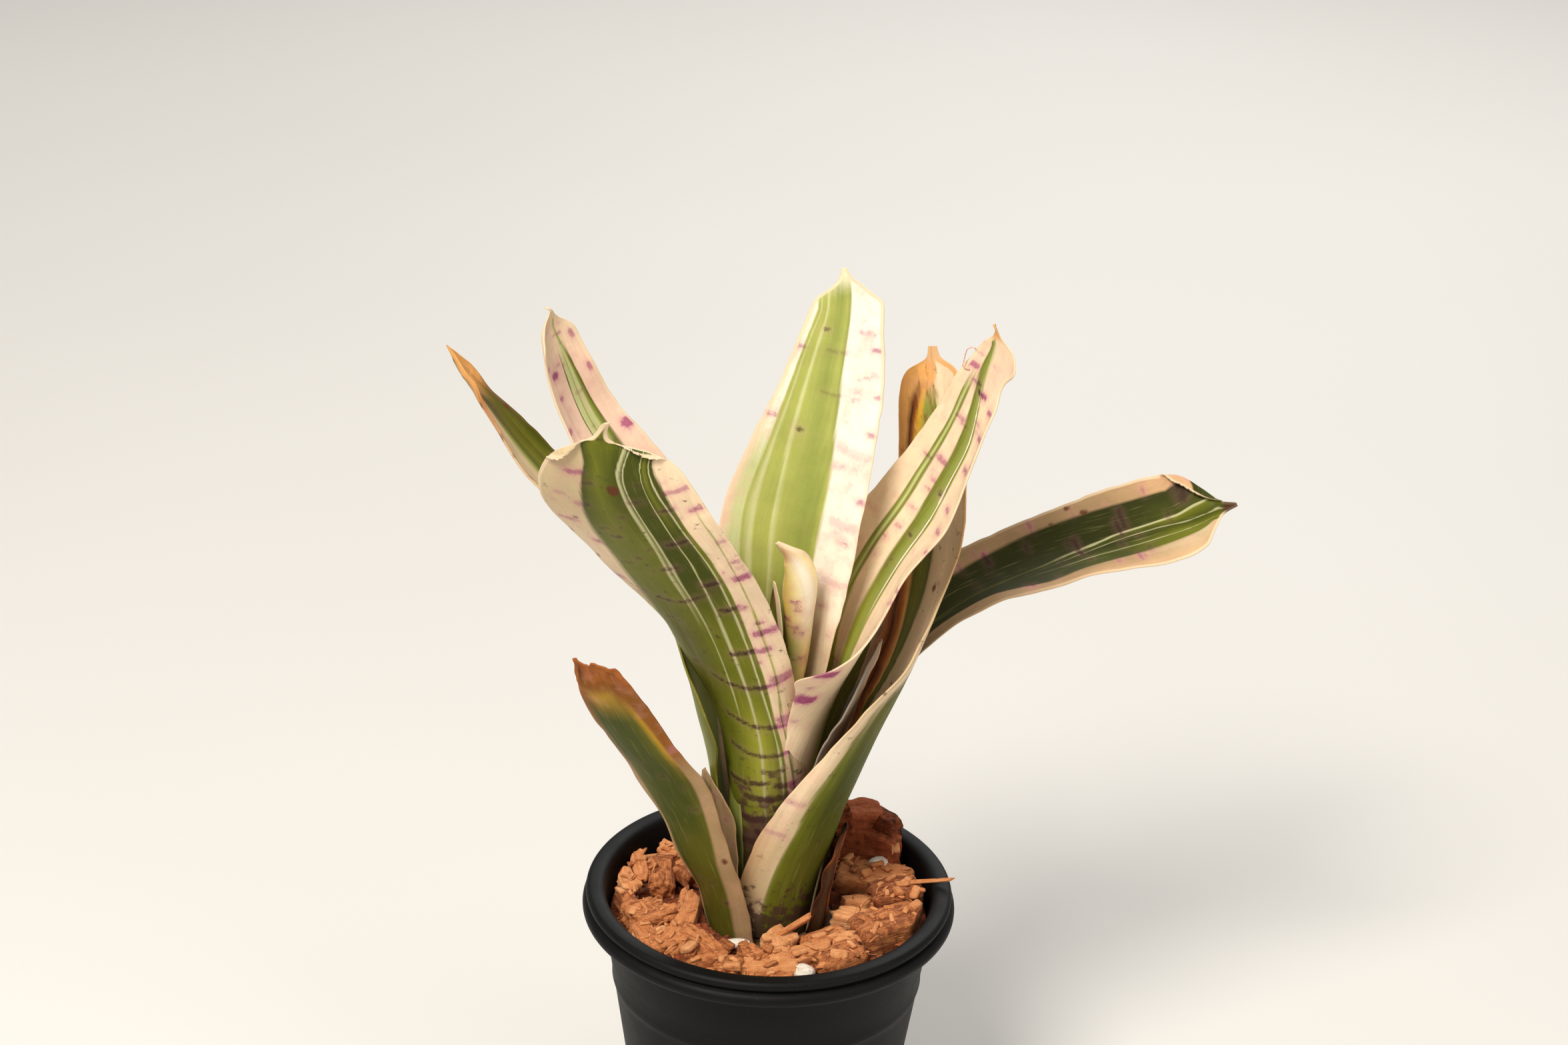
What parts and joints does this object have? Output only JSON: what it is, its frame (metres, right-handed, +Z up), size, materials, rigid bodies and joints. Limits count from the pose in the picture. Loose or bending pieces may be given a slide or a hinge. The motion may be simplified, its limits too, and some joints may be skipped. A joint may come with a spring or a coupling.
{
  "type": "potted neoregelia",
  "caption": "Potted bromeliad: a loose rosette of cream-margined green strap leaves with purple marks, in a round black nursery pot filled with husk chips.",
  "frame": {"origin": "centre of the pot's flat underside", "axes": "+Z up, -Y towards the front of the plant as pictured, +X to the right seen from the front"},
  "size_m": [0.2373, 0.126, 0.2784],
  "materials": {
    "pot": "black moulded plastic with a slight sheen",
    "medium": "rough damp bark and husk",
    "chips": "dry fibrous husk chips",
    "stem": "dull",
    "perlite": "porous, matt",
    "leaf_banded": "waxy, green with cream margins and dark purple cross marks",
    "leaf_variegated": "waxy, green centre with white margins",
    "leaf_pale": "waxy, cream with green stripes and purple spots",
    "leaf_aged": "dull, drying at the edge",
    "leaf_green": "matt green with a dry tip",
    "leaf_heart": "smooth cream-yellow",
    "sheath_dry": "fibrous, brown",
    "sheath_papery": "papery, slightly translucent"
  },
  "bodies": {
    "root": {"pot": "pot", "medium": "medium", "chips": "chips", "stem": "stem", "perlite_1": "perlite", "perlite_2": "perlite", "perlite_3": "perlite", "perlite_4": "perlite", "perlite_5": "perlite", "leaf_a": "leaf_banded", "leaf_b": "leaf_variegated", "leaf_c": "leaf_pale", "leaf_d": "leaf_aged", "leaf_e": "leaf_banded", "leaf_f": "leaf_pale", "leaf_g": "leaf_aged", "leaf_h": "leaf_green", "leaf_i": "leaf_heart", "leaf_j": "leaf_green", "sheath_k": "sheath_dry", "sheath_l": "sheath_dry", "sheath_papery": "sheath_papery"}
  },
  "joints": []
}
